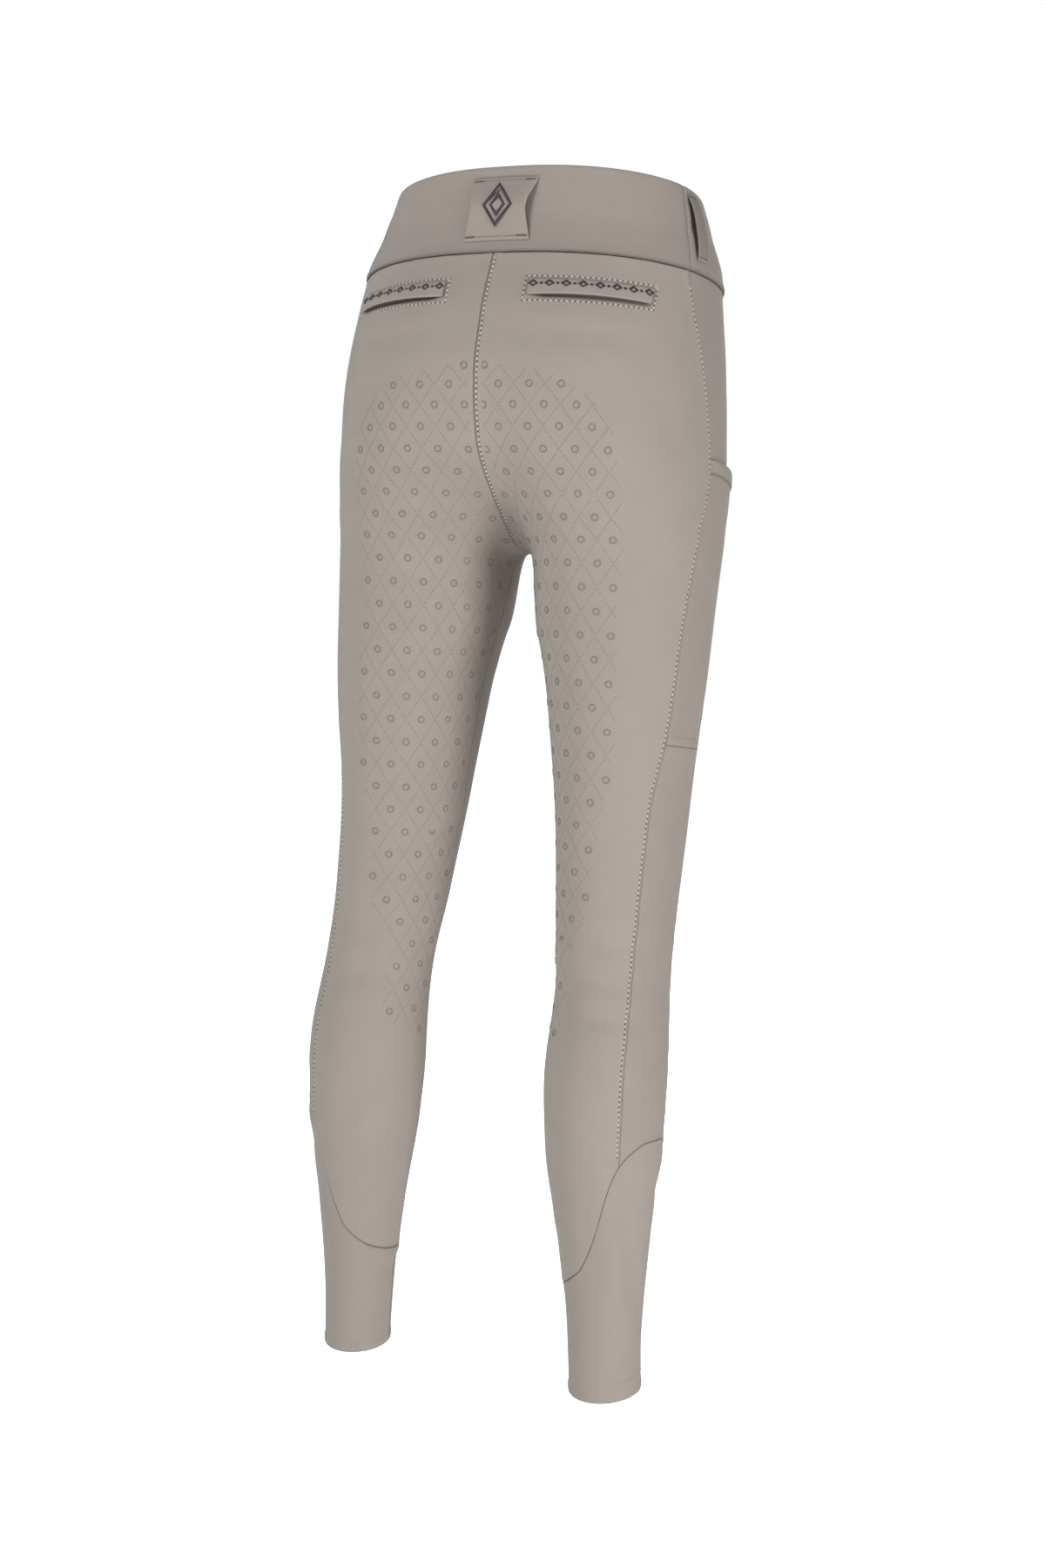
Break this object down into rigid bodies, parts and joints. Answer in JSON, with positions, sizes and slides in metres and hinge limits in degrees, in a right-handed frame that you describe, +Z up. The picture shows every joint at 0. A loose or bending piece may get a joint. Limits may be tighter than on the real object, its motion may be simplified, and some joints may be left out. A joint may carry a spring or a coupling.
{
  "type": "riding breeches",
  "caption": "Close-fitting riding breeches in worn form: wide waistband, side panels with thigh pockets, welt back pockets and stretch cuffs.",
  "frame": {"origin": "middle of the waist opening, level with the back of the rim, where the wearer's waist holds the garment", "axes": "+Z up, front towards -Y, the wearer's left towards +X"},
  "size_m": [0.3192, 0.2292, 0.9401],
  "materials": {
    "cloth": "matt greige technical stretch cloth",
    "stretch_cloth": "matt greige stretch jersey",
    "tape": "matt knitted tape"
  },
  "bodies": {
    "root": {"waistband_back": "cloth", "waistband_front": "cloth", "back_tab": "cloth", "back_left": "cloth", "back_right": "cloth", "front_left": "cloth", "front_right": "cloth", "side_upper_left": "cloth", "side_upper_right": "cloth", "side_lower_left": "cloth", "side_lower_right": "cloth", "pocket_left": "cloth", "pocket_right": "cloth", "cuff_left": "stretch_cloth", "cuff_right": "stretch_cloth", "welt_left": "cloth", "welt_right": "cloth", "belt_loop_left": "tape", "belt_loop_right": "tape"}
  },
  "joints": []
}
